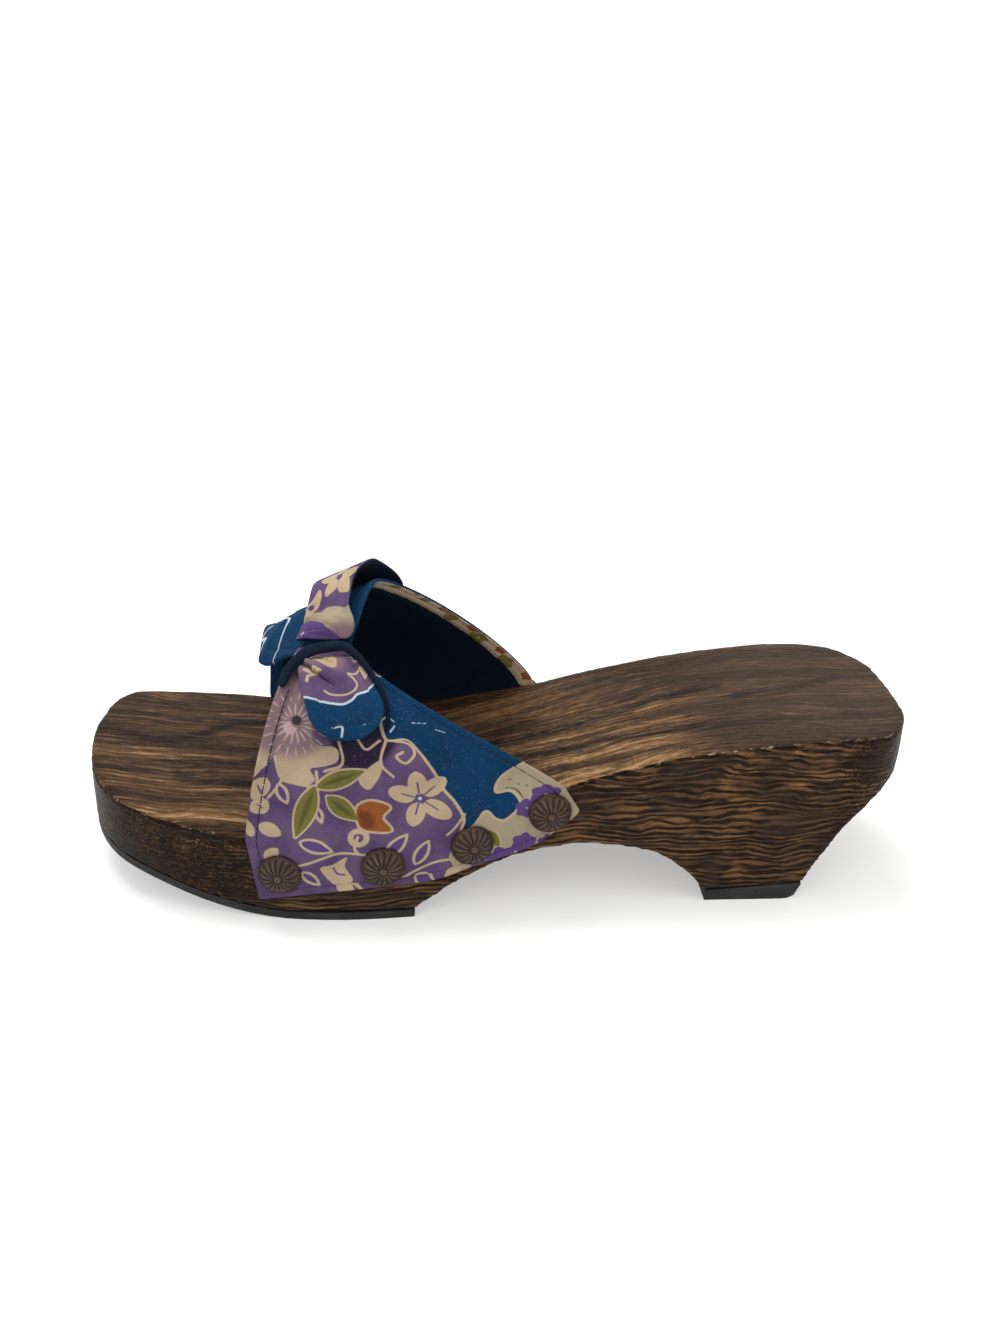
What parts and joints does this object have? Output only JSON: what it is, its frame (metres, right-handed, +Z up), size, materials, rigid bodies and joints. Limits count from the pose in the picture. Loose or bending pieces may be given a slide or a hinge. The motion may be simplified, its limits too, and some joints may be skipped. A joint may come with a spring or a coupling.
{
  "type": "geta sandal",
  "caption": "Left wooden geta slide sandal, carved in one piece with a raised heel, with a printed cloth upper crossed in a half knot and held by daisy tacks.",
  "frame": {"origin": "middle of the sandal's box in plan, at floor height", "axes": "+X from toe to heel, +Y towards the inner (medial) side, +Z up"},
  "size_m": [0.2328, 0.0953, 0.0838],
  "materials": {
    "burnt_wood": "charred, wire brushed and oiled, semi-gloss",
    "black_rubber": "matt moulded rubber",
    "printed_cotton": "printed floral cotton, matt",
    "navy_lining": "navy cotton lining, matt",
    "bronze": "dark antique bronze plate, worn on the petals"
  },
  "bodies": {
    "root": {"wood_body": "burnt_wood", "forefoot_tread": "black_rubber", "heel_tread": "black_rubber", "upper": "printed_cotton", "knot_loop": "navy_lining", "outer_tail": "printed_cotton", "inner_tail": "printed_cotton", "tack_outer_1": "bronze", "tack_outer_2": "bronze", "tack_outer_3": "bronze", "tack_outer_4": "bronze", "tack_inner_1": "bronze", "tack_inner_2": "bronze", "tack_inner_3": "bronze", "tack_inner_4": "bronze"}
  },
  "joints": []
}
